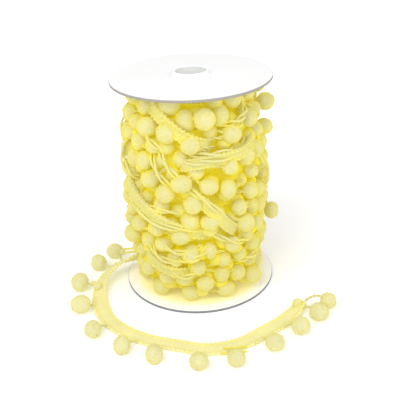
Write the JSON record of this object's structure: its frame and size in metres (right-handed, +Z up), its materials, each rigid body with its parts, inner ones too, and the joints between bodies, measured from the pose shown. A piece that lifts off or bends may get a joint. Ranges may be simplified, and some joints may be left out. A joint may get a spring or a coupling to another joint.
{
  "type": "pom pom trim wound on a spool",
  "caption": "Braided trim with pompoms along one edge, wound on a flanged spool, its loose end lying round the front in an arc.",
  "frame": {"origin": "on the surface that the spool stands on, below the middle of the whole object's box", "axes": "+Z up along the spool's axis, -Y towards the loose end, +X to the right when looking along +Y"},
  "size_m": [0.1452, 0.1344, 0.1213],
  "materials": {
    "pompom_yarn": "matte velvety pile, pale lemon yellow",
    "braid_yarn": "matte ribbed braid, pale lemon yellow",
    "flange_board": "smooth white coated board with a grey-tan cut edge",
    "core_plastic": "smooth white"
  },
  "bodies": {
    "root": {"spool_core": "core_plastic", "bottom_flange": "flange_board", "top_flange": "flange_board", "wound_trim": "pompom_yarn", "pack_pompom_01": "pompom_yarn", "pack_pompom_02": "pompom_yarn", "pack_pompom_03": "pompom_yarn", "pack_pompom_04": "pompom_yarn", "pack_pompom_05": "pompom_yarn", "pack_pompom_06": "pompom_yarn", "pack_pompom_07": "pompom_yarn", "pack_pompom_08": "pompom_yarn", "pack_pompom_09": "pompom_yarn", "pack_pompom_10": "pompom_yarn", "pack_pompom_11": "pompom_yarn", "pack_pompom_12": "pompom_yarn", "pack_pompom_13": "pompom_yarn", "pack_pompom_14": "pompom_yarn", "pack_pompom_15": "pompom_yarn", "pack_pompom_16": "pompom_yarn", "pack_pompom_17": "pompom_yarn", "pack_pompom_18": "pompom_yarn", "pack_pompom_19": "pompom_yarn", "pack_pompom_20": "pompom_yarn", "pack_pompom_21": "pompom_yarn", "pack_pompom_22": "pompom_yarn", "pack_pompom_23": "pompom_yarn", "pack_pompom_24": "pompom_yarn", "pack_pompom_25": "pompom_yarn", "pack_pompom_26": "pompom_yarn", "pack_pompom_27": "pompom_yarn", "pack_pompom_28": "pompom_yarn", "pack_pompom_29": "pompom_yarn", "pack_pompom_30": "pompom_yarn", "pack_pompom_31": "pompom_yarn", "pack_pompom_32": "pompom_yarn", "pack_pompom_33": "pompom_yarn", "pack_pompom_34": "pompom_yarn", "pack_pompom_35": "pompom_yarn", "pack_pompom_36": "pompom_yarn", "pack_pompom_37": "pompom_yarn", "pack_pompom_38": "pompom_yarn", "pack_pompom_39": "pompom_yarn", "tail_braid": "braid_yarn", "tail_pompom_01": "pompom_yarn", "tail_pompom_02": "pompom_yarn", "tail_pompom_03": "pompom_yarn", "tail_pompom_04": "pompom_yarn", "tail_pompom_05": "pompom_yarn", "tail_pompom_06": "pompom_yarn", "tail_pompom_07": "pompom_yarn", "tail_pompom_08": "pompom_yarn", "tail_pompom_09": "pompom_yarn", "tail_pompom_10": "pompom_yarn", "tail_pompom_11": "pompom_yarn", "tail_pompom_12": "pompom_yarn", "tail_pompom_13": "pompom_yarn"}
  },
  "joints": []
}
